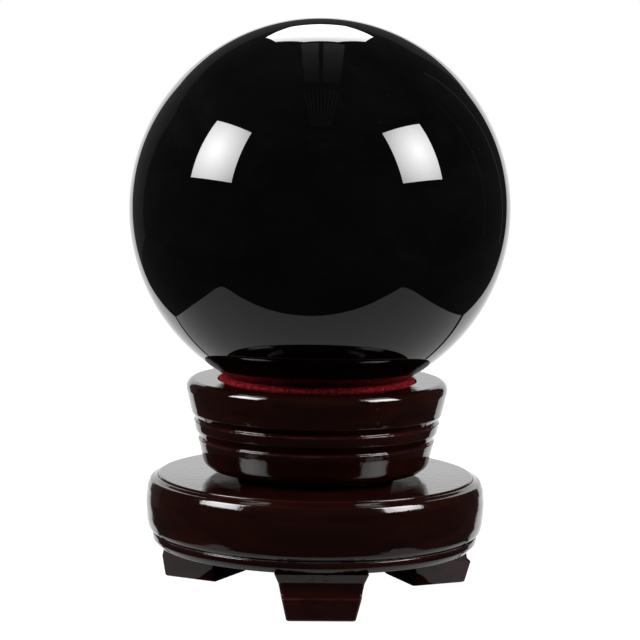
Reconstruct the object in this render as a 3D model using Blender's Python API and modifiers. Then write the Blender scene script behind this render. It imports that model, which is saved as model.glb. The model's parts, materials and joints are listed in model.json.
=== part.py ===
"""A polished black ball on a turned, lacquered wooden stand.

The stand comes apart into a cup that turns on a small ball-bearing swivel, a round base with a
pocket for that swivel, and three feet dowelled to the base. The ball rests on a velvet cord laid
in the cup's mouth. Everything turned shares the Z axis, and the feet stand on Z = 0.
"""

import math

import bmesh
import bpy

MM = 0.001
GAP = 0.3 * MM
OVERSHOOT = 5.0 * MM  # how far a hole's cutter runs past the face that it enters

# Ball
BALL_RADIUS = 75.0 * MM
BALL_CENTRE_Z = 151.3 * MM
BALL_SEGMENTS = 36

# Base
BASE_UNDERSIDE = 18.4 * MM
BASE_TOP = 46.15 * MM
DISC_RADIUS = 62.4 * MM
DISC_EDGE_RADIUS = 0.5 * MM
LEDGE_Z = 44.5 * MM
SHOULDER_RADIUS = 3.8 * MM
SHOULDER_CENTRE_R = 63.2 * MM
DRUM_RADIUS = 67.25 * MM
DRUM_MIDDLE_Z = 34.9 * MM
DRUM_HALF_HEIGHT = 6.5 * MM
DRUM_BULGE = 0.4 * MM
DRUM_FOOT_Z = 28.4 * MM
DRUM_STEPS = 4
DRUM_CORNER = (3.75 * MM, 5.6 * MM)
DRUM_CORNER_ANGLES = (-18, -50)
SHOULDER_END_ANGLE = 15
LOWER_GROOVE = ((64.05 * MM, 23.4 * MM), (64.65 * MM, 22.6 * MM))
BAND_CORNER = (2.4 * MM, 3.4 * MM)
BAND_CORNER_R = 62.0 * MM
TURNED_SEGMENTS = 40

# Cup
CUP_UNDERSIDE = 48.5 * MM
NECK_RADIUS = 30.4 * MM
NECK_FOOT_Z = BASE_TOP + 0.5 * MM
RIM_TOP = 84.1 * MM
RIM_CORNER = (4.1 * MM, 3.7 * MM)
RIM_RADIUS = 51.7 * MM
CUP_BANDS = (
    (49.6 * MM, 71.0 * MM),
    (47.8 * MM, 68.6 * MM),
    (48.7 * MM, 67.6 * MM),
    (47.9 * MM, 63.9 * MM),
    (46.1 * MM, 61.2 * MM),
    (46.9 * MM, 60.2 * MM),
)
CUP_FOOT_R = 45.7 * MM
CUP_FOOT_CORNER = (5.0 * MM, 5.0 * MM)
DISH_CLEARANCE = 3.6 * MM
DISH_STEPS = 4

# Velvet cord ring
CORD_RADIUS = 2.6 * MM
CORD_RING_RADIUS = 36.5 * MM
CORD_SEGMENTS = 8

# Swivel bearing
SWIVEL_MIDDLE_Z = 46.4 * MM
PLATE_RADIUS = 27.6 * MM
PLATE_THICKNESS = 1.2 * MM
FLANGE_OFFSET = 4.4 * MM
RAISED_OFFSET = 2.9 * MM
BOSS_OFFSET = 3.0 * MM
PITCH_RADIUS = 14.5 * MM
BEARING_BALL_RADIUS = 2.0 * MM
BEARING_BALL_COUNT = 12
BEARING_BALL_SEGMENTS = 10
BEARING_BALL_RINGS = 6
BALL_POCKET_SEGMENTS = 10
RACE_RADIUS = BEARING_BALL_RADIUS + GAP
RACE_HALF_WIDTH = 3.5 * MM
SLOPE_WIDTH = 1.5 * MM
BOSS_RADIUS = 6.6 * MM
POCKET_RADIUS = PLATE_RADIUS + 0.4 * MM
POCKET_FLOOR = SWIVEL_MIDDLE_Z - FLANGE_OFFSET - GAP
CAVITY_CEILING = SWIVEL_MIDDLE_Z + FLANGE_OFFSET + GAP
RETAINER_HALF_THICKNESS = 0.5 * MM
RETAINER_HALF_WIDTH = 3.3 * MM
RIVET_SHANK_RADIUS = 3.2 * MM
RIVET_HOLE_RADIUS = 3.6 * MM
RIVET_HEAD_RADIUS = 5.8 * MM
RIVET_HEAD_THICKNESS = 0.9 * MM
PLATE_SEGMENTS = 24

# Wood screws that hold the two swivel plates
SCREWS_PER_PLATE = 4
SCREW_CIRCLE_RADIUS = 23.6 * MM
SCREW_SHANK_RADIUS = 1.5 * MM
SCREW_LENGTH = 11.0 * MM
SCREW_TIP_LENGTH = 2.5 * MM
SCREW_HEAD_RADIUS = 2.9 * MM
SCREW_HEAD_HEIGHT = 1.7 * MM
SCREW_RECESS = (3.4 * MM, 0.7 * MM, 1.8 * MM)
SCREW_SEGMENTS = 12
PLATE_HOLE_RADIUS = SCREW_SHANK_RADIUS + GAP
DRIVER_HOLE_RADIUS = 3.0 * MM
DRIVER_HOLE_ANGLE = math.radians(45)

# Feet and their dowels
FOOT_ANGLES = {"front": 2.8, "right": 114.4, "left": -117.2}
FOOT_TOP = BASE_UNDERSIDE - GAP
FOOT_SECTIONS = (
    # height, inner radius, outer radius, half width
    (0.0 * MM, 37.7 * MM, 61.3 * MM, 13.2 * MM),
    (2.5 * MM, 37.5 * MM, 61.9 * MM, 13.9 * MM),
    (8.8 * MM, 37.0 * MM, 63.3 * MM, 15.4 * MM),
    (10.8 * MM, 36.6 * MM, 61.0 * MM, 15.9 * MM),
    (13.2 * MM, 36.4 * MM, 60.4 * MM, 16.3 * MM),
    (FOOT_TOP, 36.0 * MM, 61.9 * MM, 17.9 * MM),
)
FOOT_BEVEL = 0.8 * MM
FOOT_BEVEL_SEGMENTS = 2
FOOT_BEVEL_ANGLE = math.radians(30)
DOWEL_RADIUS = 2.9 * MM
DOWEL_CIRCLE_RADIUS = 49.0 * MM
DOWEL_SPREAD = 8.0 * MM
DOWEL_BOTTOM = 8.0 * MM
DOWEL_TOP = 26.0 * MM
DOWEL_SEGMENTS = 12

SHARP_ANGLE = math.radians(28)
# Turns each hole's cutter so that its corners miss the seams of the turned faces
HOLE_TURN = math.radians(7)


def clear_scene():
    for obj in list(bpy.data.objects):
        bpy.data.objects.remove(obj)


def new_collection(name):
    collection = bpy.data.collections.new(name)
    bpy.context.scene.collection.children.link(collection)
    return collection


def new_material(name, colour, roughness, metallic=0.0, coat=0.0):
    material = bpy.data.materials.new(name)
    material.use_nodes = True
    shader = material.node_tree.nodes["Principled BSDF"]
    shader.inputs["Base Color"].default_value = (*colour, 1.0)
    shader.inputs["Roughness"].default_value = roughness
    shader.inputs["Metallic"].default_value = metallic
    shader.inputs["Coat Weight"].default_value = coat
    return material


def new_object(name, mesh, collection, parent=None, material=None):
    obj = bpy.data.objects.new(name, mesh)
    collection.objects.link(obj)
    obj.parent = parent
    if material and not mesh.materials:
        mesh.materials.append(material)
    return obj


def new_empty(name, parent=None):
    empty = bpy.data.objects.new(name, None)
    PARTS.objects.link(empty)
    empty.parent = parent
    return empty


def ellipse(centre, radii, start, end, steps):
    """Points on an ellipse in the (radius, height) plane, from one angle to another, in degrees."""
    angles = [math.radians(start + (end - start) * i / steps) for i in range(steps + 1)]
    return [
        (centre[0] + radii[0] * math.cos(a), centre[1] + radii[1] * math.sin(a)) for a in angles
    ]


def on_circle(radius, angle, height=0.0):
    """A place at this angle from the front (-Y), going round towards +X."""
    return (radius * math.sin(angle), -radius * math.cos(angle), height)


def turned_mesh(name, profile, segments, closed=False):
    """A (radius, height) profile swept round Z. A closed one is a ring, and an open one ends on Z."""
    outline = bpy.data.meshes.new(name)
    edges = [(i, i + 1) for i in range(len(profile) - 1)]
    if closed:
        edges.append((len(profile) - 1, 0))
    outline.from_pydata([(r, 0.0, z) for r, z in profile], edges, [])
    blank = new_object(name + "_blank", outline, CUTTERS)
    screw = blank.modifiers.new("Turn", "SCREW")
    screw.axis = "Z"
    screw.steps = segments
    screw.render_steps = segments
    screw.use_merge_vertices = True
    screw.merge_threshold = 0.000001
    mesh = baked(blank)
    bpy.data.meshes.remove(outline)
    mesh.name = name
    return mesh


def baked(obj):
    """The object's mesh with its modifiers applied. The object itself is removed."""
    bpy.context.view_layer.update()
    graph = bpy.context.evaluated_depsgraph_get()
    mesh = bpy.data.meshes.new_from_object(obj.evaluated_get(graph))
    bpy.data.objects.remove(obj)
    return mesh


def shaded(mesh):
    mesh.shade_smooth()
    mesh.set_sharp_from_angle(angle=SHARP_ANGLE)
    return mesh


def cylinder_mesh(name, radius, depth, segments):
    """A capped cylinder that stands on its origin."""
    mesh = bpy.data.meshes.new(name)
    build = bmesh.new()
    bmesh.ops.create_cone(
        build, cap_ends=True, segments=segments, radius1=radius, radius2=radius, depth=depth
    )
    bmesh.ops.translate(build, verts=build.verts, vec=(0, 0, depth / 2))
    build.to_mesh(mesh)
    build.free()
    return mesh


def sphere_mesh(name, radius, segments, rings):
    mesh = bpy.data.meshes.new(name)
    build = bmesh.new()
    bmesh.ops.create_uvsphere(build, u_segments=segments, v_segments=rings, radius=radius)
    build.to_mesh(mesh)
    build.free()
    return mesh


def cut(obj, cutter):
    """Takes the cutter's shape out of the object, and keeps the cutter hidden."""
    cutter.hide_render = True
    cutter.display_type = "WIRE"
    boolean = obj.modifiers.new("Cut " + cutter.name, "BOOLEAN")
    boolean.operation = "DIFFERENCE"
    boolean.solver = "EXACT"
    boolean.object = cutter


def cut_hole(obj, name, radius, place, depth, segments=SCREW_SEGMENTS):
    """A round vertical hole that rises from this place by this depth."""
    cutter = new_object(name, cylinder_mesh(name, radius, depth, segments), CUTTERS)
    cutter.location = place
    cutter.rotation_euler = (0, 0, HOLE_TURN)
    cut(obj, cutter)


def finished(obj):
    """Applies the object's cuts and shades its round faces smooth."""
    bpy.context.view_layer.update()
    graph = bpy.context.evaluated_depsgraph_get()
    obj.data = bpy.data.meshes.new_from_object(obj.evaluated_get(graph))
    obj.modifiers.clear()
    shaded(obj.data)
    return obj


def base_profile():
    """From the pocket's centre, out over the top disc, down the drum and in under the base."""
    drum_top = LEDGE_Z - SHOULDER_RADIUS
    drum = []
    for step in range(DRUM_STEPS + 1):
        height = drum_top + (DRUM_FOOT_Z - drum_top) * step / DRUM_STEPS
        swell = ((height - DRUM_MIDDLE_Z) / DRUM_HALF_HEIGHT) ** 2
        drum.append((DRUM_RADIUS - DRUM_BULGE * swell, height))
    shoulder_centre = (SHOULDER_CENTRE_R, drum_top)
    corner_centre = (drum[-1][0] - DRUM_CORNER[0], DRUM_FOOT_Z)
    return [
        (0.0, POCKET_FLOOR),
        (POCKET_RADIUS, POCKET_FLOOR),
        (POCKET_RADIUS, BASE_TOP),
        *ellipse(
            (DISC_RADIUS - DISC_EDGE_RADIUS, BASE_TOP - DISC_EDGE_RADIUS),
            (DISC_EDGE_RADIUS, DISC_EDGE_RADIUS),
            90,
            0,
            2,
        ),
        (DISC_RADIUS, LEDGE_Z),
        *ellipse(
            shoulder_centre, (SHOULDER_RADIUS, SHOULDER_RADIUS), 90, SHOULDER_END_ANGLE, 4
        ),
        *drum,
        *ellipse(corner_centre, DRUM_CORNER, *DRUM_CORNER_ANGLES, 2),
        *LOWER_GROOVE,
        *ellipse((BAND_CORNER_R, BASE_UNDERSIDE + BAND_CORNER[1]), BAND_CORNER, 0, -90, 4),
        (0.0, BASE_UNDERSIDE),
    ]


def cord_height():
    """The height at which the cord's ring just clears the ball."""
    reach = BALL_RADIUS + GAP + CORD_RADIUS
    return BALL_CENTRE_Z - math.sqrt(reach**2 - CORD_RING_RADIUS**2)


def cup_profile():
    """From the dish's centre, out over the rim, down the three bands, and up into the neck."""
    seat_floor = cord_height() - CORD_RADIUS - GAP
    seat_wall = CORD_RING_RADIUS + CORD_RADIUS + GAP
    dish_radius = BALL_RADIUS + DISH_CLEARANCE
    dish_edge = math.sqrt(dish_radius**2 - (BALL_CENTRE_Z - seat_floor) ** 2)
    dish = []
    for step in range(DISH_STEPS + 1):
        radius = dish_edge * step / DISH_STEPS
        dish.append((radius, BALL_CENTRE_Z - math.sqrt(dish_radius**2 - radius**2)))
    rim_centre = (RIM_RADIUS - RIM_CORNER[0], RIM_TOP - RIM_CORNER[1])
    foot_centre = (CUP_FOOT_R - CUP_FOOT_CORNER[0], CUP_UNDERSIDE + CUP_FOOT_CORNER[1])
    return [
        *dish,
        (seat_wall, seat_floor),
        (seat_wall, RIM_TOP),
        *ellipse(rim_centre, RIM_CORNER, 90, 0, 5),
        *CUP_BANDS,
        *ellipse(foot_centre, CUP_FOOT_CORNER, 0, -90, 4),
        (NECK_RADIUS, CUP_UNDERSIDE),
        (NECK_RADIUS, NECK_FOOT_Z),
        (POCKET_RADIUS, NECK_FOOT_Z),
        (POCKET_RADIUS, CAVITY_CEILING),
        (0.0, CAVITY_CEILING),
    ]


def plate_profile(side):
    """One pressed plate, as a closed outline: side is -1 for the lower plate and +1 for the upper.

    Offsets are distances from the bearing's middle plane to the face that looks at it. The race
    stands up from the flange towards the balls, and so does the boss round the rivet.
    """
    flange = FLANGE_OFFSET - PLATE_THICKNESS
    raised = RAISED_OFFSET - PLATE_THICKNESS
    boss = BOSS_OFFSET - PLATE_THICKNESS
    groove_reach = math.sqrt(RACE_RADIUS**2 - raised**2)
    race_inside = PITCH_RADIUS - RACE_HALF_WIDTH
    race_outside = PITCH_RADIUS + RACE_HALF_WIDTH
    groove = [
        (PITCH_RADIUS + x, math.sqrt(RACE_RADIUS**2 - x**2))
        for x in (-groove_reach, -groove_reach / 2, 0.0, groove_reach / 2, groove_reach)
    ]
    inner_face = [
        (RIVET_HOLE_RADIUS, boss),
        (BOSS_RADIUS, boss),
        (BOSS_RADIUS + SLOPE_WIDTH, flange),
        (race_inside - SLOPE_WIDTH, flange),
        (race_inside, raised),
        *groove,
        (race_outside, raised),
        (race_outside + SLOPE_WIDTH, flange),
        (PLATE_RADIUS, flange),
    ]
    outer_face = [(r, offset + PLATE_THICKNESS) for r, offset in inner_face]
    top, bottom = (outer_face, inner_face) if side > 0 else (inner_face, outer_face)
    return [(r, SWIVEL_MIDDLE_Z + side * offset) for r, offset in top + bottom[::-1]]


def make_ball(parent):
    mesh = sphere_mesh("crystal_ball", BALL_RADIUS, BALL_SEGMENTS, BALL_SEGMENTS // 2)
    ball = new_object("crystal_ball", shaded(mesh), PARTS, parent, BLACK_GLASS)
    ball.location = (0, 0, BALL_CENTRE_Z)


def make_cord_ring(parent):
    last_angle = 360 / CORD_SEGMENTS - 180
    outline = ellipse(
        (CORD_RING_RADIUS, cord_height()),
        (CORD_RADIUS, CORD_RADIUS),
        180,
        last_angle,
        CORD_SEGMENTS - 1,
    )
    mesh = turned_mesh("seat_ring", outline, BALL_SEGMENTS, closed=True)
    new_object("seat_ring", shaded(mesh), PARTS, parent, RED_VELVET)


def make_cup(parent):
    mesh = turned_mesh("cup", cup_profile(), TURNED_SEGMENTS)
    cup = new_object("cup", mesh, PARTS, parent, DARK_LACQUER)
    for number, angle in enumerate(screw_angles(), start=1):
        place = on_circle(SCREW_CIRCLE_RADIUS, angle, CAVITY_CEILING - OVERSHOOT)
        cut_hole(cup, f"cup_pilot_{number}", PLATE_HOLE_RADIUS, place, SCREW_LENGTH + OVERSHOOT)
    finished(cup)


def make_base(parent):
    mesh = turned_mesh("base", base_profile(), TURNED_SEGMENTS)
    base = new_object("base", mesh, PARTS, parent, DARK_LACQUER)
    for number, angle in enumerate(screw_angles(), start=1):
        place = on_circle(SCREW_CIRCLE_RADIUS, angle, POCKET_FLOOR - SCREW_LENGTH)
        cut_hole(base, f"base_pilot_{number}", PLATE_HOLE_RADIUS, place, SCREW_LENGTH + OVERSHOOT)
    driver_place = on_circle(SCREW_CIRCLE_RADIUS, DRIVER_HOLE_ANGLE, BASE_UNDERSIDE - OVERSHOOT)
    cut_hole(base, "driver_hole", DRIVER_HOLE_RADIUS + GAP, driver_place, BASE_TOP)
    for name, place in dowel_places():
        place = (place[0], place[1], BASE_UNDERSIDE - OVERSHOOT)
        depth = DOWEL_TOP + GAP - place[2]
        cut_hole(base, "base_socket_" + name, DOWEL_RADIUS + GAP, place, depth, DOWEL_SEGMENTS)
    finished(base)


def screw_angles():
    return [2 * math.pi * i / SCREWS_PER_PLATE for i in range(SCREWS_PER_PLATE)]


def dowel_places():
    """(name, place) of each dowel: two side by side in each foot."""
    found = []
    for foot, degrees in FOOT_ANGLES.items():
        turn = math.radians(degrees)
        middle = on_circle(DOWEL_CIRCLE_RADIUS, turn)
        for side, offset in (("a", -DOWEL_SPREAD), ("b", DOWEL_SPREAD)):
            place = (
                middle[0] + offset * math.cos(turn),
                middle[1] + offset * math.sin(turn),
                DOWEL_BOTTOM,
            )
            found.append((f"{foot}_{side}", place))
    return found


def foot_mesh():
    """A block lofted between level rectangles, with a nose low on its outer face.

    It is made pointing to -Y, so its outer face is at -Y and its width lies along X.
    """
    mesh = bpy.data.meshes.new("foot")
    build = bmesh.new()
    rings = []
    for height, inner, outer, half_width in FOOT_SECTIONS:
        corners = (
            (-half_width, -outer),
            (half_width, -outer),
            (half_width, -inner),
            (-half_width, -inner),
        )
        rings.append([build.verts.new((x, y, height)) for x, y in corners])
    build.faces.new(rings[0][::-1])
    for lower, upper in zip(rings, rings[1:]):
        for i in range(4):
            j = (i + 1) % 4
            build.faces.new((lower[i], lower[j], upper[j], upper[i]))
    build.faces.new(rings[-1])
    build.to_mesh(mesh)
    build.free()
    blank = new_object("foot_blank", mesh, CUTTERS)
    bevel = blank.modifiers.new("Eased edges", "BEVEL")
    bevel.width = FOOT_BEVEL
    bevel.segments = FOOT_BEVEL_SEGMENTS
    bevel.limit_method = "ANGLE"
    bevel.angle_limit = FOOT_BEVEL_ANGLE
    return baked(blank)


def make_feet(parent):
    block = foot_mesh()
    sockets = dict(dowel_places())
    for foot, degrees in FOOT_ANGLES.items():
        obj = new_object("foot_" + foot, block.copy(), PARTS, parent, DARK_LACQUER)
        obj.rotation_euler = (0, 0, math.radians(degrees))
        for side in "ab":
            x, y, bottom = sockets[f"{foot}_{side}"]
            name = f"foot_socket_{foot}_{side}"
            place = (x, y, bottom - GAP)
            cut_hole(obj, name, DOWEL_RADIUS + GAP, place, FOOT_TOP, DOWEL_SEGMENTS)
        finished(obj)
    bpy.data.meshes.remove(block)


def make_dowels(parent):
    mesh = shaded(cylinder_mesh("dowel", DOWEL_RADIUS, DOWEL_TOP - DOWEL_BOTTOM, DOWEL_SEGMENTS))
    for name, place in dowel_places():
        dowel = new_object("dowel_" + name, mesh, PARTS, parent, PALE_WOOD)
        dowel.location = place


def make_plate(name, side, parent):
    mesh = turned_mesh(name, plate_profile(side), PLATE_SEGMENTS, closed=True)
    plate = new_object(name, mesh, PARTS, parent, ZINC_STEEL)
    low = SWIVEL_MIDDLE_Z + side * FLANGE_OFFSET - OVERSHOOT
    for number, angle in enumerate(screw_angles(), start=1):
        place = on_circle(SCREW_CIRCLE_RADIUS, angle, low)
        cut_hole(plate, f"{name}_hole_{number}", PLATE_HOLE_RADIUS, place, 2 * OVERSHOOT)
    if side < 0:
        place = on_circle(SCREW_CIRCLE_RADIUS, DRIVER_HOLE_ANGLE, low)
        cut_hole(plate, "driver_hole_in_plate", DRIVER_HOLE_RADIUS, place, 2 * OVERSHOOT)
    finished(plate)


def make_retainer(parent):
    inner = PITCH_RADIUS - RETAINER_HALF_WIDTH
    outer = PITCH_RADIUS + RETAINER_HALF_WIDTH
    top = SWIVEL_MIDDLE_Z + RETAINER_HALF_THICKNESS
    bottom = SWIVEL_MIDDLE_Z - RETAINER_HALF_THICKNESS
    outline = [(inner, top), (outer, top), (outer, bottom), (inner, bottom)]
    mesh = turned_mesh("ball_retainer", outline, PLATE_SEGMENTS, closed=True)
    retainer = new_object("ball_retainer", mesh, PARTS, parent, ZINC_STEEL)
    depth = 2 * (OVERSHOOT + RETAINER_HALF_THICKNESS)
    for number, angle in enumerate(bearing_angles(), start=1):
        name = f"ball_pocket_{number:02d}"
        place = on_circle(PITCH_RADIUS, angle, bottom - OVERSHOOT)
        cut_hole(retainer, name, RACE_RADIUS, place, depth, BALL_POCKET_SEGMENTS)
    finished(retainer)


def bearing_angles():
    return [2 * math.pi * i / BEARING_BALL_COUNT for i in range(BEARING_BALL_COUNT)]


def make_bearing_balls(parent):
    mesh = sphere_mesh(
        "bearing_ball", BEARING_BALL_RADIUS, BEARING_BALL_SEGMENTS, BEARING_BALL_RINGS
    )
    shaded(mesh)
    for number, angle in enumerate(bearing_angles(), start=1):
        ball = new_object(f"bearing_ball_{number:02d}", mesh, PARTS, parent, BRIGHT_STEEL)
        ball.location = on_circle(PITCH_RADIUS, angle, SWIVEL_MIDDLE_Z)


def make_rivet(parent):
    """A shank with two flat heads, one each side of the two plates' bosses."""
    head_inside = BOSS_OFFSET + GAP
    head_outside = head_inside + RIVET_HEAD_THICKNESS
    profile = [
        (0.0, head_outside),
        (RIVET_HEAD_RADIUS, head_outside),
        (RIVET_HEAD_RADIUS, head_inside),
        (RIVET_SHANK_RADIUS, head_inside),
        (RIVET_SHANK_RADIUS, -head_inside),
        (RIVET_HEAD_RADIUS, -head_inside),
        (RIVET_HEAD_RADIUS, -head_outside),
        (0.0, -head_outside),
    ]
    mesh = shaded(turned_mesh("pivot_rivet", profile, PLATE_SEGMENTS))
    rivet = new_object("pivot_rivet", mesh, PARTS, parent, BRIGHT_STEEL)
    rivet.location = (0, 0, SWIVEL_MIDDLE_Z)


def screw_mesh():
    """A pan-head wood screw, head up, with the underside of its head at its origin."""
    crown = ellipse((0, 0), (SCREW_HEAD_RADIUS, SCREW_HEAD_HEIGHT), 90, 0, 3)
    profile = [
        *crown,
        (SCREW_SHANK_RADIUS, 0.0),
        (SCREW_SHANK_RADIUS, SCREW_TIP_LENGTH - SCREW_LENGTH),
        (0.0, -SCREW_LENGTH),
    ]
    blank = new_object("screw", turned_mesh("screw", profile, SCREW_SEGMENTS), CUTTERS)
    length, width, depth = SCREW_RECESS
    for number, size in enumerate(((length, width, depth), (width, length, depth)), start=1):
        slot_mesh = bpy.data.meshes.new("slot")
        build = bmesh.new()
        bmesh.ops.create_cube(build, size=1.0)
        bmesh.ops.scale(build, verts=build.verts, vec=size)
        build.to_mesh(slot_mesh)
        build.free()
        slot = new_object(f"screw_slot_{number}", slot_mesh, CUTTERS)
        slot.location = (0, 0, SCREW_HEAD_HEIGHT)
        cut(blank, slot)
    return shaded(baked(blank))


def make_screws(parent_lower, parent_upper):
    mesh = screw_mesh()
    face = FLANGE_OFFSET - PLATE_THICKNESS - GAP
    for number, angle in enumerate(screw_angles(), start=1):
        lower = new_object(f"lower_screw_{number}", mesh, PARTS, parent_lower, ZINC_STEEL)
        lower.location = on_circle(SCREW_CIRCLE_RADIUS, angle, SWIVEL_MIDDLE_Z - face)
        upper = new_object(f"upper_screw_{number}", mesh, PARTS, parent_upper, ZINC_STEEL)
        upper.location = on_circle(SCREW_CIRCLE_RADIUS, angle, SWIVEL_MIDDLE_Z + face)
        upper.rotation_euler = (math.pi, 0, 0)


clear_scene()
PARTS = new_collection("crystal_ball_on_stand")
CUTTERS = new_collection("cutters")

BLACK_GLASS = new_material("black_glass", (0.006, 0.006, 0.007), 0.04)
RED_VELVET = new_material("red_velvet", (0.32, 0.006, 0.018), 0.95)
DARK_LACQUER = new_material("dark_red_lacquer", (0.030, 0.004, 0.004), 0.16, coat=1.0)
PALE_WOOD = new_material("pale_wood", (0.55, 0.38, 0.20), 0.7)
ZINC_STEEL = new_material("zinc_plated_steel", (0.56, 0.55, 0.50), 0.34, metallic=1.0)
BRIGHT_STEEL = new_material("bright_steel", (0.62, 0.62, 0.63), 0.16, metallic=1.0)

stand = new_empty("stand")
swivel_axis = new_empty("swivel_axis", stand)
cage_axis = new_empty("cage_axis", stand)
ball_lift = new_empty("ball_lift", swivel_axis)

make_base(stand)
make_feet(stand)
make_dowels(stand)
make_plate("swivel_lower_plate", -1, stand)
make_rivet(stand)
make_plate("swivel_upper_plate", 1, swivel_axis)
make_screws(stand, swivel_axis)
make_retainer(cage_axis)
make_bearing_balls(cage_axis)
make_cup(swivel_axis)
make_cord_ring(swivel_axis)
make_ball(ball_lift)
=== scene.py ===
"""Looks of a polished black ball on a turned, lacquered stand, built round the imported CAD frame."""

import json
import math

import bmesh
import bpy
import numpy as np
from mathutils import Matrix, Vector, noise


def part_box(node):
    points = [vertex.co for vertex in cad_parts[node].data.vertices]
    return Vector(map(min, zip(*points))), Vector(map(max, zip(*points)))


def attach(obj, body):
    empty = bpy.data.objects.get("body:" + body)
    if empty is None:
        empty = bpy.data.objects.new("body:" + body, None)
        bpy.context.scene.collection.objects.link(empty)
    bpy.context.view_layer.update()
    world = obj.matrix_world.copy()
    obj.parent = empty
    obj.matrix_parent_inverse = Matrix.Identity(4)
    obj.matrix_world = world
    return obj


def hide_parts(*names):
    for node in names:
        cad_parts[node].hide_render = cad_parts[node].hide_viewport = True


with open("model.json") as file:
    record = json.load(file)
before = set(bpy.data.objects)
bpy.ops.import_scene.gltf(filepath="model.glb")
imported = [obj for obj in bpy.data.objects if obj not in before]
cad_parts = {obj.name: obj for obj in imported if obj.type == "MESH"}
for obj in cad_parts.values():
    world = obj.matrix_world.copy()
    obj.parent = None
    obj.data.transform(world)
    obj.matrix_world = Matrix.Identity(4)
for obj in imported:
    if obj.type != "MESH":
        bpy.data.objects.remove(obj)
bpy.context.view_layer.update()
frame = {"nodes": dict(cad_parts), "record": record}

MM = 0.001

# Camera: about a metre away, a little above the ball's middle
CAMERA_PLACE = Vector((0.0, -1.049, 0.2302))
CAMERA_PITCH = 6.673
CAMERA_PAN = 0.041
CAMERA_ROLL = 0.95
CAMERA_LENS = 150.2
SENSOR_WIDTH = 36.0

# The hole through the base for a screwdriver: distance from the axis, bearing from -Y, radius
DRIVER_HOLE_REACH = 23.6 * MM
DRIVER_HOLE_ANGLE = math.radians(45)
DRIVER_HOLE_RADIUS = 3.3 * MM

# Air left round the parts that the wood holds, in mm
CLEARANCE = 0.3
PLATE_CLEARANCE = 0.4
# Radius in mm of the first and last ring of a turned mesh, which its flat caps close
CAP_RING = 0.2

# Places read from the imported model
BALL_LOW, BALL_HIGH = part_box("crystal_ball")
BALL_CENTRE = (BALL_LOW + BALL_HIGH) / 2
BALL_RADIUS = (BALL_HIGH.z - BALL_LOW.z) / 2
CUP_LOW, CUP_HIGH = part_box("cup")
BASE_LOW, BASE_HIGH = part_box("base")
RING_LOW, RING_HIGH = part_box("seat_ring")
PLATE_LOW, PLATE_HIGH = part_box("swivel_lower_plate")


# ---------------------------------------------------------------- outlines


def rounded(corners, step=9.0):
    """A polyline of (across, up, rounding) corners in mm, each rounded off. Returns metres."""
    places = [Vector(c[:2]) for c in corners]
    straightest = 1e-4
    found = [places[0]]
    for i in range(1, len(corners) - 1):
        radius = corners[i][2]
        before, here, after = places[i - 1], places[i], places[i + 1]
        towards, away = before - here, after - here
        room = 0.75 * min(towards.length, away.length)
        towards.normalize()
        away.normalize()
        turn = math.pi - towards.angle(away)
        if radius <= 0 or turn < straightest:
            found.append(here)
            continue
        reach = min(radius * math.tan(turn / 2), room)
        radius = reach / math.tan(turn / 2)
        middle = (towards + away).normalized()
        centre = here + middle * (radius / math.cos(turn / 2))
        start = here + towards * reach - centre
        steps = max(2, math.ceil(math.degrees(turn) / step))
        side = 1 if start.x * away.y - start.y * away.x > 0 else -1
        for k in range(steps + 1):
            angle = side * turn * k / steps
            c, s = math.cos(angle), math.sin(angle)
            found.append(centre + Vector((c * start.x - s * start.y, s * start.x + c * start.y)))
    found.append(places[-1])
    return np.array([(p.x * MM, p.y * MM) for p in found])


def spaced(outline, spacing):
    """The outline with points added, so that none are further apart than the spacing."""
    found = [outline[0]]
    for here, there in zip(outline, outline[1:]):
        count = max(1, math.ceil(np.linalg.norm(there - here) / spacing))
        found.extend(here + (there - here) * k / count for k in range(1, count + 1))
    return np.array(found)


def outline_normals(outline, closed):
    """Unit normals along the outline, each at a right angle to its neighbours' direction."""
    if closed:
        along = np.roll(outline, -1, axis=0) - np.roll(outline, 1, axis=0)
    else:
        along = np.gradient(outline, axis=0)
    along /= np.maximum(np.linalg.norm(along, axis=1, keepdims=True), 1e-12)
    return np.stack([-along[:, 1], along[:, 0]], axis=1)


def near(outline, corners, column, width):
    """How near each outline point is to the corners with a weight in this column, 0 to 1."""
    weight = np.zeros(len(outline))
    for corner in corners:
        if len(corner) > column and corner[column]:
            gap = np.linalg.norm(outline - np.array(corner[:2]) * MM, axis=1)
            weight = np.maximum(weight, corner[column] * np.exp(-((gap / (width * MM)) ** 2)))
    return weight


# ---------------------------------------------------------------- meshes


def noise_at(points, scale, offset=0.0):
    """Smooth noise from -1 to 1 at each point, with about scale waves to a metre."""
    shift = Vector((offset, offset * 1.7, -offset))
    return np.array([noise.noise(Vector(p) * scale + shift) for p in points])


def outward(mesh):
    """Turns every face outwards on a closed mesh."""
    build = bmesh.new()
    build.from_mesh(mesh)
    bmesh.ops.recalc_face_normals(build, faces=build.faces)
    if build.calc_volume(signed=True) < 0:
        bmesh.ops.reverse_faces(build, faces=build.faces)
    build.to_mesh(mesh)
    build.free()


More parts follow.
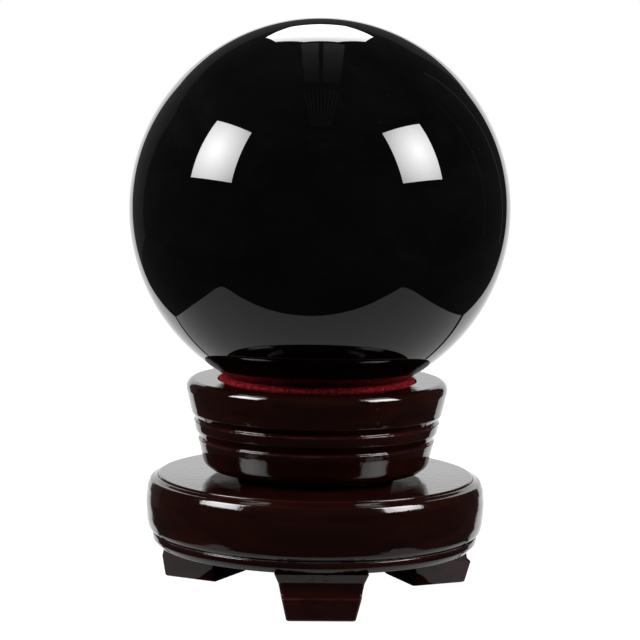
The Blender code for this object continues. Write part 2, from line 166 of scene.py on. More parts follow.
def grid_mesh(name, rings, wrap_rows=False, attributes=None, sharp=None):
    """Closed mesh from rings of points, each ring closed. The ends are capped at their middle."""
    rows, columns = rings.shape[:2]
    points = rings.reshape(-1, 3)
    index = np.arange(rows * columns).reshape(rows, columns)
    lower = index if wrap_rows else index[:-1]
    upper = np.roll(index, -1, axis=0) if wrap_rows else index[1:]
    faces = np.stack(
        [lower, np.roll(lower, -1, axis=1), np.roll(upper, -1, axis=1), upper], axis=-1
    ).reshape(-1, 4)
    faces = [list(map(int, f)) for f in faces]
    extra = []
    if not wrap_rows:
        for row, turned in ((index[0], True), (index[-1], False)):
            middle = len(points) + len(extra)
            extra.append(points[row].mean(axis=0))
            for a, b in zip(row, np.roll(row, -1)):
                face = [int(a), int(b), middle]
                faces.append(face[::-1] if turned else face)
        points = np.vstack([points, extra])
    mesh = bpy.data.meshes.new(name)
    mesh.from_pydata(points.tolist(), [], faces)
    for key, values in (attributes or {}).items():
        values = np.concatenate([values.reshape(-1), np.zeros(len(extra))])
        layer = mesh.attributes.new(key, "FLOAT", "POINT")
        layer.data.foreach_set("value", values.astype(np.float32))
    outward(mesh)
    mesh.shade_smooth()
    if sharp:
        mesh.set_sharp_from_angle(angle=math.radians(sharp))
    return mesh


def turned_rings(outline, segments, relief=None, closed=False):
    """The outline swept round Z, then pushed along its own normal by what relief(rings) says."""
    angles = np.linspace(0, 2 * math.pi, segments, endpoint=False)
    normals = outline_normals(outline, closed)
    across = np.stack([np.cos(angles), np.sin(angles)], axis=1)

    def swept(line):
        flat = line[:, None, 0:1] * across[None]
        high = np.broadcast_to(line[:, None, 1:2], (len(line), segments, 1))
        return np.concatenate([flat, high], axis=2)

    rings = swept(outline)
    if relief is not None:
        rings = rings + swept(normals) * relief(rings)[..., None]
    return rings


def piece(name, mesh, material, body, replaces):
    """A visible piece that rides on a body and stands for some CAD nodes."""
    obj = bpy.data.objects.new(name, mesh)
    bpy.context.scene.collection.objects.link(obj)
    mesh.materials.append(material)
    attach(obj, body)
    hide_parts(*replaces)
    return obj


# ---------------------------------------------------------------- materials


class Graph:
    """A material's nodes, with short ways to add the ones used here."""

    def __init__(self, name):
        self.material = bpy.data.materials.new(name)
        self.material.use_nodes = True
        self.nodes = self.material.node_tree.nodes
        self.links = self.material.node_tree.links
        self.shader = self.nodes["Principled BSDF"]
        self.place = self.add("ShaderNodeTexCoord").outputs["Object"]

    def add(self, kind, **settings):
        node = self.nodes.new(kind)
        for key, value in settings.items():
            setattr(node, key, value)
        return node

    def join(self, source, target):
        self.links.new(source, target)

    def fixed(self, **values):
        """Sets the shader's own sockets: underscores stand for the spaces in their names."""
        for key, value in values.items():
            self.shader.inputs[key.replace("_", " ")].default_value = value

    def stretched(self, scale):
        node = self.add("ShaderNodeMapping")
        node.inputs["Scale"].default_value = scale
        self.join(self.place, node.inputs["Vector"])
        return node.outputs["Vector"]

    def noise(self, scale, detail=3.0, roughness=0.5, vector=None, distortion=0.0):
        node = self.add("ShaderNodeTexNoise")
        node.inputs["Scale"].default_value = scale
        node.inputs["Detail"].default_value = detail
        node.inputs["Roughness"].default_value = roughness
        node.inputs["Distortion"].default_value = distortion
        self.join(vector or self.place, node.inputs["Vector"])
        return node.outputs["Fac"]

    def ramp(self, factor, *stops):
        node = self.add("ShaderNodeValToRGB")
        ramp = node.color_ramp
        while len(ramp.elements) < len(stops):
            ramp.elements.new(0.5)
        for element, (position, colour) in zip(ramp.elements, stops):
            element.position = position
            element.color = (*colour, 1.0)
        self.join(factor, node.inputs["Fac"])
        return node.outputs["Color"]

    def range(self, value, low, high, out_low, out_high, smooth=False):
        node = self.add("ShaderNodeMapRange")
        if smooth:
            node.interpolation_type = "SMOOTHSTEP"
        for key, number in zip(
            ("From Min", "From Max", "To Min", "To Max"), (low, high, out_low, out_high)
        ):
            node.inputs[key].default_value = number
        self.join(value, node.inputs["Value"])
        return node.outputs["Result"]

    def math(self, kind, first, second):
        node = self.add("ShaderNodeMath", operation=kind)
        for socket, value in zip(node.inputs, (first, second)):
            if isinstance(value, (int, float)):
                socket.default_value = value
            else:
                self.join(value, socket)
        return node.outputs["Value"]

    def mix(self, factor, first, second):
        node = self.add("ShaderNodeMix", data_type="RGBA")
        self.join(factor, node.inputs["Factor"])
        for key, value in (("A", first), ("B", second)):
            sockets = [s for s in node.inputs if s.name == key and s.type == "RGBA"]
            if isinstance(value, tuple):
                sockets[0].default_value = (*value, 1.0)
            else:
                self.join(value, sockets[0])
        return next(s for s in node.outputs if s.type == "RGBA")

    def attribute(self, name):
        return self.add("ShaderNodeAttribute", attribute_name=name).outputs["Fac"]

    def bump(self, height, distance, strength=1.0, normal=None):
        node = self.add("ShaderNodeBump")
        node.inputs["Distance"].default_value = distance
        node.inputs["Strength"].default_value = strength
        self.join(height, node.inputs["Height"])
        if normal:
            self.join(normal, node.inputs["Normal"])
        return node.outputs["Normal"]

    def colour(self, source):
        self.join(source, self.shader.inputs["Base Color"])

    def rough(self, source):
        self.join(source, self.shader.inputs["Roughness"])

    def surface(self, normal):
        self.join(normal, self.shader.inputs["Normal"])


def black_glass():
    """Near-black glass with wiped-off smears and a little dust."""
    g = Graph("black_glass")
    upright = g.stretched((1.0, 1.0, 1.9))
    smears = g.noise(26.0, detail=9.0, roughness=0.68, vector=upright, distortion=0.5)
    clear = g.ramp(
        smears,
        (0.42, (0.0006, 0.0006, 0.0006)),
        (0.62, (0.0016, 0.0017, 0.0017)),
        (0.78, (0.0044, 0.0044, 0.0050)),
    )
    specks = g.range(g.noise(760.0, detail=2.0, roughness=0.6), 0.735, 0.80, 0.0, 1.0)
    places = g.range(g.noise(34.0), 0.46, 0.66, 0.0, 1.0)
    dust = g.math("MULTIPLY", specks, places)
    g.colour(g.mix(dust, clear, (0.045, 0.045, 0.042)))
    g.rough(g.range(smears, 0.35, 0.8, 0.0, 0.035))
    g.fixed(IOR=1.5)
    g.surface(g.bump(g.noise(60.0, detail=1.0), 0.000002))
    return g.material


def lacquer(name, edge, haze):
    """Near-black red lacquer over wood, redder where it runs thin over an edge, with a painted
    highlight in that edge colour.
    """
    g = Graph(name)
    lengthways = g.stretched((0.3, 0.9, 2.4))
    grain = g.noise(60.0, detail=5.0, roughness=0.6, vector=lengthways, distortion=0.6)
    wood = g.ramp(
        grain,
        (0.30, (0.0045, 0.0010, 0.0007)),
        (0.52, (0.0100, 0.0019, 0.0012)),
        (0.75, (0.0190, 0.0034, 0.0018)),
    )
    worn = g.noise(140.0, detail=4.0, roughness=0.7)
    patches = g.range(worn, 0.35, 0.62, 0.25, 1.0, smooth=True)
    # the paler red along edges is partly thin lacquer and partly a painted highlight and reflection
    thin_and_highlight = g.math("MULTIPLY", g.attribute(edge), patches)
    g.colour(g.mix(thin_and_highlight, wood, (0.052, 0.0105, 0.0145)))
    g.fixed(Roughness=0.8, Specular_IOR_Level=0.0)
    g.fixed(Coat_Weight=1.0, Coat_Roughness=haze, Coat_IOR=1.5)
    peel = g.bump(g.noise(420.0, detail=2.0), 0.00004)
    fine = g.bump(g.noise(1500.0, detail=1.0), 0.000008, normal=peel)
    g.surface(fine)
    g.join(fine, g.shader.inputs["Coat Normal"])
    return g.material


def velvet():
    """Crimson pile, with painted shade between its tufts and a painted highlight at their tips."""
    g = Graph("red_velvet")
    tall = g.math("MULTIPLY", g.attribute("pile"), 0.6)
    tufts = g.math("MULTIPLY", g.noise(900.0, detail=4.0, roughness=0.7), 0.5)
    # darker low in the pile and lighter at its tips: painted shade and painted highlight, with random
    # tufts on top
    g.colour(
        g.ramp(
            g.math("ADD", tall, tufts),
            (0.22, (0.013, 0.0003, 0.0007)),
            (0.50, (0.080, 0.0015, 0.0030)),
            (0.80, (0.38, 0.013, 0.022)),
        )
    )
    g.fixed(Roughness=0.95, Specular_IOR_Level=0.1)
    g.fixed(Sheen_Weight=0.04, Sheen_Roughness=0.4, Sheen_Tint=(1.0, 0.2, 0.24, 1.0))
    g.surface(g.bump(g.noise(2600.0, roughness=0.7), 0.00012))
    return g.material


def metal(name, light, dark, roughness):
    """Bare steel, duller and rougher where it is grimy."""
    g = Graph(name)
    grime = g.noise(220.0, detail=5.0, roughness=0.65)
    g.colour(g.ramp(grime, (0.30, dark), (0.65, light)))
    g.rough(g.range(g.noise(500.0), 0.3, 0.7, roughness * 0.7, roughness * 1.4))
    g.fixed(Metallic=1.0)
    g.surface(g.bump(g.noise(1200.0), 0.00001))
    return g.material


def pale_wood():
    """Bare beech with its grain along the dowel."""
    g = Graph("pale_wood")
    lengthways = g.stretched((1.0, 1.0, 0.12))
    grain = g.noise(500.0, detail=5.0, roughness=0.6, vector=lengthways, distortion=0.4)
    g.colour(g.ramp(grain, (0.3, (0.36, 0.21, 0.10)), (0.7, (0.60, 0.43, 0.25))))
    g.rough(g.range(grain, 0.3, 0.7, 0.62, 0.8))
    g.surface(g.bump(grain, 0.00005))
    return g.material


# ---------------------------------------------------------------- the ball


def make_ball(material):
    """A cube's faces blown up to a sphere, with the faint waves that hand polishing leaves."""
    count = 80
    wave_height = 0.004 * MM
    build = bmesh.new()
    bmesh.ops.create_cube(build, size=2.0)
    bmesh.ops.subdivide_edges(build, edges=build.edges, cuts=count - 1, use_grid_fill=True)
    for vert in build.verts:
        x, y, z = vert.co
        # even spacing over the sphere
        spread = Vector(
            (
                x * math.sqrt(1 - y * y / 2 - z * z / 2 + y * y * z * z / 3),
                y * math.sqrt(1 - z * z / 2 - x * x / 2 + z * z * x * x / 3),
                z * math.sqrt(1 - x * x / 2 - y * y / 2 + x * x * y * y / 3),
            )
        ).normalized()
        wave = wave_height * noise.noise(spread * 3.0)
        vert.co = BALL_CENTRE + spread * (BALL_RADIUS + wave)
    mesh = bpy.data.meshes.new("polished_ball")
    build.to_mesh(mesh)
    build.free()
    mesh.shade_smooth()
    piece("polished_ball", mesh, material, "ball", ["crystal_ball"])


# ---------------------------------------------------------------- velvet


def make_velvet(material):
    """A velvet cord ring: a dense round ring whose pile stands up in small tufts."""
    around, across = 1040, 84
    inset = 0.35 * MM
    pile_height = 0.34 * MM
    lean_height = 0.12 * MM
    minor = (RING_HIGH.z - RING_LOW.z) / 2
    middle = (RING_HIGH.z + RING_LOW.z) / 2
    major = RING_HIGH.x - minor - inset
    turns = np.linspace(0, 2 * math.pi, across, endpoint=False)
    # fuller on top than down in the seat
    full = np.clip(0.5 - 1.2 * np.sin(turns), 0, 1)
    body = minor + (0.64 * full - 0.38) * MM
    outline = np.stack([major + body * np.cos(turns), middle - body * np.sin(turns)], axis=1)
    heights = {}

    def relief(rings):
        points = rings.reshape(-1, 3)
        tufts = noise_at(points, 1500.0) + 0.6 * noise_at(points, 2900.0, 4.0)
        worn = noise_at(points, 160.0, 9.0)
        tall = np.clip(0.5 + 0.55 * tufts, 0, 1).reshape(rings.shape[:2])
        # the pile's height, which the velvet material turns into painted shade between tufts and a
        # painted highlight at their tips
        heights["pile"] = tall
        lean = lean_height * worn.reshape(rings.shape[:2])
        return pile_height * (tall - 0.35) + lean

    rings = crushed(turned_rings(outline, around, relief, closed=True))
    mesh = grid_mesh("velvet_ring", rings, wrap_rows=True, attributes=heights)
    ring = piece("velvet_ring", mesh, material, "turntable", ["seat_ring"])


def crushed(rings):
    """The pile pressed back to just outside the ball that rests in it."""
    pressed = BALL_RADIUS + 0.05 * MM
    centre = np.array(BALL_CENTRE)
    away = rings - centre
    distance = np.linalg.norm(away, axis=2, keepdims=True)
    return np.where(distance < pressed, centre + away / distance * pressed, rings)


# ---------------------------------------------------------------- turned wood

# Mesh attribute that says how thin the lacquer is, which also places a painted highlight along the
# edges
EDGE = "thin_lacquer_and_edge_highlight"

# A corner of a turned outline: radius, height and rounding in mm, then two weights from 0 to 1: thin
# lacquer with its painted edge highlight, and beads of lacquer
THIN_AND_HIGHLIGHT = 3
BEADS = 4

SEGMENTS = 512
SHARP_ANGLE = 40


def lacquered_relief(outline, corners):
    """Out-of-round, orange peel, and beads of lacquer that gathered by the grooves."""
    beads = near(outline, corners, BEADS, 0.8)

    def relief(rings):
        points = rings.reshape(-1, 3)
        shape = rings.shape[:2]
        slow = noise_at(points, 22.0).reshape(shape)
        peel = noise_at(points, 210.0, 3.0).reshape(shape)
        flat = points * np.array([1.0, 1.0, 2.2])
        drops = noise_at(flat, 620.0, 7.0).reshape(shape)
        runs = noise_at(flat, 190.0, 5.0).reshape(shape)
        gathered = np.clip(drops, -0.2, 1.0) * 0.11 + runs * 0.10
        return MM * (0.05 * slow + 0.006 * peel + beads[:, None] * gathered)

    return relief


def thin_lacquer_and_edge_highlight(outline, corners, rings):
    """How thin the lacquer is at each point, from 0 to 1, broken up along the edges; the same weight
    paints a highlight along them.
    """
    weight = near(outline, corners, THIN_AND_HIGHLIGHT, 0.5)[:, None]
    broken = 0.75 + 0.5 * noise_at(rings.reshape(-1, 3), 90.0, 2.0).reshape(rings.shape[:2])
    return np.clip(weight * broken, 0, 1)


def make_turned(name, corners, spacing, material, body, node):
    """A piece of turned wood, from the corners of its outline."""
    outline = spaced(rounded(corners), spacing)
    rings = turned_rings(outline, SEGMENTS, lacquered_relief(outline, corners))
    attributes = {EDGE: thin_lacquer_and_edge_highlight(outline, corners, rings)}
    mesh = grid_mesh(name, rings, attributes=attributes, sharp=SHARP_ANGLE)
    return piece(name, mesh, material, body, [node])


def make_cup(material):
    """The cup: a dish under the ball, three bands with two grooves, and a cavity for the plate."""
    top = CUP_HIGH.z / MM
    low = CUP_LOW.z / MM
    rim = CUP_HIGH.x / MM
    under = low + 1.85
    ceiling = low + 4.45
    cavity = PLATE_HIGH.x / MM + PLATE_CLEARANCE
    neck = cavity + 2.4
    wall = RING_HIGH.x / MM + CLEARANCE
    floor = RING_LOW.z / MM - CLEARANCE
    # the dish follows the ball a little way off
    reach = BALL_RADIUS / MM + 3.6
    centre = BALL_CENTRE.z / MM
    edge = math.sqrt(reach**2 - (centre - floor) ** 2)
    steps = 8
    dish = []
    for k in range(steps + 1):
        across = CAP_RING + (edge - CAP_RING) * k / steps
        dish.append((across, centre - math.sqrt(reach**2 - across**2), 0))
    corners = [
        *dish,
        (wall, floor, 0.2),
        (wall, top, 0.6, 0.4),
        (rim - 0.1, top, 4.1),
        (rim, top - 3.9, 3.0),
        (rim - 2.1, top - 13.0, 0.35, 0, 0.7),
        (rim - 3.9, top - 15.6, 0.3, 0, 1.0),
        (rim - 3.0, top - 16.3, 0.3, 0.8, 0.9),
        (rim - 3.8, top - 20.0, 0.5, 0, 0.4),
        (rim - 5.6, top - 23.1, 0.3, 0, 1.0),
        (rim - 4.8, top - 23.7, 0.3, 0.8, 0.7),
        (rim - 6.0, top - 28.6, 9.0),
        (rim - 7.1, under + 2.3, 4.0),
        (rim - 10.0, under, 2.0),
        (neck, under, 0.6, 0, 0.5),
        (neck, low, 0.4),
        (cavity, low, 0.2),
        (cavity, ceiling, 0.2),
        (CAP_RING, ceiling, 0),
    ]
    make_turned("turned_cup", corners, 0.55 * MM, material, "turntable", "cup")


def make_base(material):
    """The base: a raised disc, a rounded drum side and a groove above the foot band."""
    top = BASE_HIGH.z / MM
    low = BASE_LOW.z / MM
    drum = BASE_HIGH.x / MM
    pocket = PLATE_HIGH.x / MM + PLATE_CLEARANCE
    floor = PLATE_LOW.z / MM - CLEARANCE
    disc = drum - 4.85
    ledge = top - 1.65
    groove = top - 22.75
    corners = [
        (CAP_RING, floor, 0),
        (pocket, floor, 0.2),
        (pocket, top, 0.3),
        (disc, top, 0.6, 0.45, 0.15),
        (disc, ledge, 0.45, 0.5, 0.5),
        (drum - 1.8, ledge, 1.4, 0.2),
        (drum - 0.6, ledge - 3.0, 5.0),
        (drum, ledge - 9.0, 20.0),
        (drum - 0.5, groove + 5.0, 12.0),
        (drum - 1.2, groove + 1.7, 3.0),
        (drum - 3.2, groove - 0.25, 0.3, 0, 0.5),
        (drum - 2.7, groove - 0.6, 0.35, 0.5, 0.4),
        (drum - 2.8, low + 2.2, 2.0),
        (drum - 4.6, low, 1.2),
        (CAP_RING, low, 0),
    ]
    base = make_turned("turned_base", corners, 0.6 * MM, material, "base", "base")
    cut_driver_hole(base, low * MM, floor * MM)


def cut_driver_hole(base, low, floor):
    """A round hole from the underside into the pocket, through which the upper screws are driven."""
    past_the_faces = 2.0 * MM
    build = bmesh.new()
    bmesh.ops.create_cone(
        build,
        cap_ends=True,
        segments=48,
        radius1=DRIVER_HOLE_RADIUS,
        radius2=DRIVER_HOLE_RADIUS,
        depth=floor - low + 2 * past_the_faces,
    )
    sideways = Vector((math.sin(DRIVER_HOLE_ANGLE), -math.cos(DRIVER_HOLE_ANGLE), 0))
    middle = DRIVER_HOLE_REACH * sideways + Vector((0, 0, (floor + low) / 2))
    bmesh.ops.translate(build, verts=build.verts, vec=middle)
    mesh = bpy.data.meshes.new("driver_hole")
    build.to_mesh(mesh)
    build.free()
    cutter = bpy.data.objects.new("driver_hole", mesh)
    bpy.context.scene.collection.objects.link(cutter)
    cut = base.modifiers.new("driver hole", "BOOLEAN")
    cut.object = cutter
    cut.solver = "EXACT"
    bpy.context.view_layer.update()
    graph = bpy.context.evaluated_depsgraph_get()
    holed = bpy.data.meshes.new_from_object(base.evaluated_get(graph))
    base.modifiers.clear()
    base.data = holed
    bpy.data.objects.remove(cutter)


# ---------------------------------------------------------------- feet

# How far each foot's nose stands out, and where its unevenness is read from
FOOT_NOSE = {"front": 1.0, "right": 1.0, "left": 0.3}
FOOT_SEED = {"front": 0.0, "right": 20.0, "left": 40.0}

FOOT_CORNER = 0.9 * MM
FOOT_CHAMFER = 0.45 * MM
FOOT_CHAMFER_TOP = 0.6 * MM
FOOT_STEP = 0.45


def foot_outlines(tall, ridge, nose):
    """Front face, back face and half width of a foot: (distance, height, rounding) in mm."""
    front = rounded(
        [
            (61.3, 0, 0),
            (61.3 + 1.8 * nose, ridge, 0.5),
            (61.2, ridge + 1.5, 1.0),
            (60.4, ridge + 4.4, 5.0),
            (62.2, tall, 0),
        ]
    )
    back = rounded([(37.7, 0, 0), (37.0, ridge, 3), (36.0, tall, 0)])
    half = rounded(
        [
            (13.2, 0, 0),
            (15.2, ridge, 1.2),
            (15.6, ridge + 2.0, 4.0),
            (16.4, tall - 3.6, 4.0),
            (17.9, tall, 0),
        ]
    )
    return front, back, half


def foot_levels(tall, front, half):
    """Heights of a foot's rows: even steps, with the outlines' own points between them."""
    closest = 0.05 * MM
    heights = {0.0, 0.12 * MM, 0.3 * MM, FOOT_CHAMFER_TOP, tall * MM}
    heights.update(float(z) for z in front[:, 1])
    heights.update(float(z) for z in half[:, 1])
    heights.update(k * FOOT_STEP * MM for k in range(2, int(tall / FOOT_STEP)))
    levels = []
    for z in sorted(heights):
        if not levels or z - levels[-1] > closest:
            levels.append(z)
    return levels


def foot_row(far, close, wide):
    """One level of a foot, anticlockwise, as points and how near an edge each of them is."""
    spans = (
        ((-wide, -far), (wide, -far), 40),
        ((wide, -far), (wide, -close), 30),
        ((wide, -close), (-wide, -close), 24),
        ((-wide, -close), (-wide, -far), 30),
    )
    arc_steps = 5
    row, edges = [], []
    for start, end, count in spans:
        start, end = Vector(start), Vector(end)
        along = (end - start).normalized()
        first, last = start + along * FOOT_CORNER, end - along * FOOT_CORNER
        for k in range(count + 1):
            row.append(first + (last - first) * k / count)
            edges.append(0.9 if k in (0, count) else 0.0)
        out = Vector((along.y, -along.x))
        pivot = last - out * FOOT_CORNER
        for k in range(1, arc_steps):
            turn = math.radians(90 * k / arc_steps)
            swung = out * FOOT_CORNER * math.cos(turn) + along * FOOT_CORNER * math.sin(turn)
            row.append(pivot + swung)
            edges.append(0.7)
    return row, edges


def uneven(points, seed):
    """The points pushed sideways by saw and knife marks, less so near the sole."""
    away = points - points.mean(axis=0)
    away[:, 2] = 0
    away /= np.linalg.norm(away, axis=1, keepdims=True)
    push = 0.14 * noise_at(points, 60.0, seed) + 0.035 * noise_at(points, 260.0, seed + 3)
    lift = np.clip(points[:, 2] / (2 * MM), 0, 1)
    return points + away * (MM * push * lift)[:, None]


def make_foot(side, angle, material):
    """A sawn bracket foot: a slanting, rubbed face below a nose, and a cove above it."""
    nose = FOOT_NOSE[side]
    low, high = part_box("foot_" + side)
    tall = (high.z - low.z) / MM
    ridge = tall / 2 - 0.25
    front, back, half = foot_outlines(tall, ridge, nose)
    rows, thin_and_highlight = [], []
    for z in foot_levels(tall, front, half):
        inset = FOOT_CHAMFER * max(0.0, 1 - z / FOOT_CHAMFER_TOP) ** 2
        far = float(np.interp(z, front[:, 1], front[:, 0])) - inset
        close = float(np.interp(z, back[:, 1], back[:, 0])) + inset
        wide = float(np.interp(z, half[:, 1], half[:, 0])) - inset
        row, edges = foot_row(far, close, wide)
        rows.append([(p.x, p.y, z + low.z) for p in row])
        # a redder line along the ridge and round the corners: thin lacquer and a painted highlight;
        # below the ridge the face is rubbed
        on_ridge = 0.6 * math.exp(-(((z / MM - ridge) / 0.4) ** 2)) * nose
        rubbed = 0.36 * nose if z / MM < ridge else 0.0
        thin_and_highlight.append([max(e * 0.3, on_ridge, rubbed) for e in edges])
    rings = np.array(rows)
    points = uneven(rings.reshape(-1, 3), FOOT_SEED[side])
    points = points @ np.array(Matrix.Rotation(angle, 3, "Z")).T
    name = "sawn_foot_" + side
    attributes = {EDGE: np.array(thin_and_highlight)}
    mesh = grid_mesh(name, points.reshape(rings.shape), attributes=attributes, sharp=SHARP_ANGLE)
    piece(name, mesh, material, "base", ["foot_" + side])


# ---------------------------------------------------------------- camera


def make_camera():
    data = bpy.data.cameras.new("camera")
    data.sensor_width = SENSOR_WIDTH
    data.lens = CAMERA_LENS
    camera = bpy.data.objects.new("camera", data)
    bpy.context.scene.collection.objects.link(camera)
    turn = (
        Matrix.Rotation(math.radians(-CAMERA_PAN), 4, "Z")
        @ Matrix.Rotation(math.radians(90 - CAMERA_PITCH), 4, "X")
        @ Matrix.Rotation(math.radians(CAMERA_ROLL), 4, "Z")
    )
    camera.matrix_world = Matrix.Translation(CAMERA_PLACE) @ turn
    bpy.context.scene.camera = camera


# ---------------------------------------------------------------- the studio


def glow(name, middle, edge):
    """A light whose strength goes from its middle, at UV (0, 0), to its edge, one unit away."""
    material = bpy.data.materials.new(name)
    material.use_nodes = True
    nodes, links = material.node_tree.nodes, material.node_tree.links
    nodes.clear()
    place = nodes.new("ShaderNodeUVMap")
    offset = nodes.new("ShaderNodeVectorMath")
    offset.operation = "LENGTH"
    fade = nodes.new("ShaderNodeMapRange")
    fade.inputs["To Min"].default_value = middle
    fade.inputs["To Max"].default_value = edge
    emission = nodes.new("ShaderNodeEmission")
    output = nodes.new("ShaderNodeOutputMaterial")
    links.new(place.outputs["UV"], offset.inputs[0])
    links.new(offset.outputs["Value"], fade.inputs["Value"])
    links.new(fade.outputs["Result"], emission.inputs["Strength"])
    links.new(emission.outputs["Emission"], output.inputs["Surface"])
    return material


def even(name, strength):
    return glow(name, strength, strength)


def card(name, corners, material, uvs=None):
    """A flat emitter that the camera doesn't see."""
    mesh = bpy.data.meshes.new(name)
    mesh.from_pydata([tuple(c) for c in corners], [], [tuple(range(len(corners)))])
    layer = mesh.uv_layers.new(name="UVMap")
    for loop, uv in zip(layer.data, uvs or [(0, 0)] * len(corners)):
        loop.uv = uv
    mesh.materials.append(material)
    obj = bpy.data.objects.new(name, mesh)
    bpy.context.scene.collection.objects.link(obj)
    obj.visible_camera = False


def towards(azimuth, elevation):
    """A direction: azimuth 0 is away from the camera (+Y) and 90 is to the right (+X)."""
    a, e = math.radians(azimuth), math.radians(elevation)
    return Vector((math.sin(a) * math.cos(e), math.cos(a) * math.cos(e), math.sin(e)))


def softbox(name, azimuth, elevation, distance, shape, middle, edge):
    """A light that faces the ball. shape is a list of (sideways, up) corners in metres."""
    ahead = towards(azimuth, elevation)
    right = ahead.cross(Vector((0, 0, 1))).normalized()
    up = right.cross(ahead)
    centre = BALL_CENTRE + ahead * distance
    reach = max(math.hypot(x, y) for x, y in shape)
    corners = [centre + right * x + up * y for x, y in shape]
    uvs = [(x / reach, y / reach) for x, y in shape]
    card(name, corners, glow(name, middle, edge), uvs)


def make_softboxes():
    """Two boxes beside the ball, and an eight-sided one above and behind it."""
    left_box = [(0.221, 0.234), (-0.277, 0.299), (-0.357, -0.253), (0.225, -0.300)]
    right_box = [(0.280, 0.304), (-0.218, 0.231), (-0.213, -0.301), (0.329, -0.261)]
    softbox("softbox_left", -107.7, 29.0, 1.1, left_box, 24.0, 9.0)
    softbox("softbox_right", 112.7, 30.9, 1.1, right_box, 24.0, 9.0)
    half_width, half_height = 0.27, 0.276
    turns = [math.radians(22.5 + 45 * k) for k in range(8)]
    ring = [(half_width * math.cos(t), half_height * math.sin(t)) for t in turns]
    softbox("softbox_top", -1.1, 46.7, 1.11, ring, 11.0, 6.0)


def make_table():
    """A white table well below the stand, brighter towards its back, and the stand's own shade."""
    below = -0.22
    brighter_over = 0.42
    table = [
        (-0.412, -0.216),
        (-0.174, -0.234),
        (0.008, -0.251),
        (0.300, -0.282),
        (0.418, -0.285),
        (0.442, -0.261),
        (0.458, -0.200),
        (0.470, 0.400),
        (-0.436, 0.450),
        (-0.472, 0.024),
        (-0.486, -0.142),
        (-0.479, -0.185),
        (-0.471, -0.197),
        (-0.451, -0.208),
    ]
    corners = [(x, y, below) for x, y in table]
    uvs = [(0, max(0.0, y) / brighter_over) for x, y in table]
    card("table", corners, glow("table_white", 0.54, 0.72), uvs)

    radius, under_soles = 0.05, -0.001
    turns = [math.radians(15 * k) for k in range(24)]
    shade = [(radius * math.cos(t), radius * math.sin(t), under_soles) for t in turns]
    card("shade_below", shade, even("shade_below", 0.004))


def make_sheet():
    """A sheet hanging behind the table, brighter at its sides than in its middle."""
    back = 0.380
    half = 0.130
    top = 0.300
    left_sheet = [
        (-0.362, -0.156),
        (-half, -0.156),
        (-half, top),
        (-0.208, top),
        (-0.272, 0.120),
        (-0.278, -0.006),
    ]
    right_sheet = [
        (half, -0.171),
        (0.414, -0.171),
        (0.304, 0.001),
        (0.284, 0.129),
        (0.220, top),
        (half, top),
    ]
    bright = even("sheet_white", 1.18)
    for name, outline in (("sheet_left", left_sheet), ("sheet_right", right_sheet)):
        card(name, [(x, back, z) for x, z in outline], bright)
    for name, low, high, level in (
        ("sheet_low", -0.156, 0.120, 1.20),
        ("sheet_high", 0.120, top, 0.97),
    ):
        corners = [(-half, back, low), (half, back, low), (half, back, high), (-half, back, high)]
        card(name, corners, even(name, level))


def make_overheads():
    """Two dim panels high above, and in front of them lamp bars that converge forwards."""
    high = BALL_CENTRE.z + 2.0
    near_edge, far_edge = -0.25, 1.15
    for name, left, right in (("overhead_left", -0.27, -0.05), ("overhead_right", 0.01, 0.28)):
        corners = [
            (left, near_edge, high),
            (right, near_edge, high),
            (right, far_edge, high),
            (left, far_edge, high),
        ]
        card(name, corners, glow(name, 0.20, 0.05), [(0, 1), (0, 1), (0, 0), (0, 0)])

    bars, first, pitch, width = 9, -0.31, 0.072, 0.02
    bar_back, bar_front, narrowing = -0.42, -1.5, 0.7
    material = even("lamp_bar", 0.08)
    for k in range(bars):
        x = first + pitch * k
        corners = [
            (x, bar_back, high),
            (x + width, bar_back, high),
            (narrowing * x + width, bar_front, high),
            (narrowing * x, bar_front, high),
        ]
        card("lamp_bar_%d" % k, corners, material)


def make_surroundings():
    """Light stands to the right, behind, and a dim studio wall."""
    distance, bottom, top = 1.5, -0.1, 1.4
    for name, azimuth, width, level in (
        ("pole_far", 41.0, 0.034, 0.11),
        ("pole_near", 66.0, 0.022, 0.07),
    ):
        place = towards(azimuth, 0.0) * distance
        side = towards(azimuth + 90.0, 0.0) * (width / 2)
        left, right = place - side, place + side
        corners = [
            (left.x, left.y, bottom),
            (right.x, right.y, bottom),
            (right.x, right.y, top),
            (left.x, left.y, top),
        ]
        card(name, corners, even(name, level))
    left, right, back, low, high = -1.9, 0.7, 1.6, -0.3, 1.2
    wall = [(left, back, low), (right, back, low), (right, back, high), (left, back, high)]
    uvs = [(-1, -1), (1, -1), (1, 1), (-1, 1)]
    card("studio_wall", wall, glow("studio_wall", 0.09, 0.07), uvs)


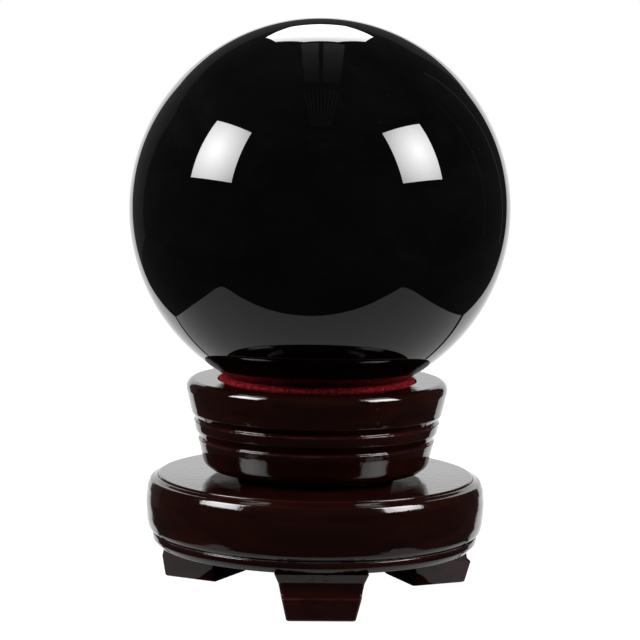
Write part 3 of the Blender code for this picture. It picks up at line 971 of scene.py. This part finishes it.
def make_floor():
    """A pale floor that only the camera sees."""
    mesh = bpy.data.meshes.new("floor")
    build = bmesh.new()
    bmesh.ops.create_circle(build, cap_ends=True, segments=96, radius=4.0)
    build.to_mesh(mesh)
    build.free()
    material = bpy.data.materials.new("pale_floor")
    material.use_nodes = True
    shader = material.node_tree.nodes["Principled BSDF"]
    shader.inputs["Base Color"].default_value = (0.14, 0.14, 0.14, 1)
    shader.inputs["Roughness"].default_value = 1.0
    shader.inputs["Specular IOR Level"].default_value = 0.0
    shader.inputs["Emission Color"].default_value = (1, 1, 1, 1)
    shader.inputs["Emission Strength"].default_value = 1.0
    mesh.materials.append(material)
    floor = bpy.data.objects.new("floor", mesh)
    floor.location = (0, 0, -0.4 * MM)
    bpy.context.scene.collection.objects.link(floor)
    for part in ("glossy", "diffuse", "transmission", "shadow", "volume_scatter"):
        setattr(floor, "visible_" + part, False)


def make_world():
    """A background that is bright to the camera and dark to everything else."""
    dark, bright = 0.03, 1.0
    world = bpy.data.worlds.new("studio")
    bpy.context.scene.world = world
    world.use_nodes = True
    nodes, links = world.node_tree.nodes, world.node_tree.links
    background = nodes["Background"]
    background.inputs["Color"].default_value = (1, 1, 1, 1)
    path = nodes.new("ShaderNodeLightPath")
    level = nodes.new("ShaderNodeMapRange")
    level.inputs["To Min"].default_value = dark
    level.inputs["To Max"].default_value = bright
    links.new(path.outputs["Is Camera Ray"], level.inputs["Value"])
    links.new(level.outputs["Result"], background.inputs["Strength"])


# ---------------------------------------------------------------- everything

bpy.context.scene.view_settings.view_transform = "Standard"
make_camera()
make_softboxes()
make_table()
make_sheet()
make_overheads()
make_surroundings()
make_floor()
make_world()

LACQUER = lacquer("dark_red_lacquer", EDGE, 0.05)
BASE_LACQUER = lacquer("base_lacquer", EDGE, 0.085)
PLAIN = {
    "zinc_steel": metal("zinc_plated_steel", (0.60, 0.59, 0.54), (0.34, 0.33, 0.28), 0.3),
    "bright_steel": metal("bright_steel", (0.66, 0.66, 0.67), (0.45, 0.45, 0.46), 0.13),
    "pale_wood": pale_wood(),
}

make_ball(black_glass())
make_velvet(velvet())
make_cup(LACQUER)
make_base(BASE_LACQUER)

for foot in ("front", "right", "left"):
    sole = next(m for m in frame["record"]["mounts"] if foot in m["name"])
    x, y = sole["pos_m"][0], sole["pos_m"][1]
    make_foot(foot, math.atan2(x, -y), LACQUER)

# the hidden parts keep their CAD shape and get their material here
for slot_name, start in (
    ("pale_wood", "dowel_"),
    ("zinc_steel", "swivel_"),
    ("zinc_steel", "lower_screw_"),
    ("zinc_steel", "upper_screw_"),
    ("zinc_steel", "ball_retainer"),
    ("bright_steel", "bearing_ball_"),
    ("bright_steel", "pivot_rivet"),
):
    for node_name, node in frame["nodes"].items():
        if node_name.startswith(start):
            node.data.materials.clear()
            node.data.materials.append(PLAIN[slot_name])
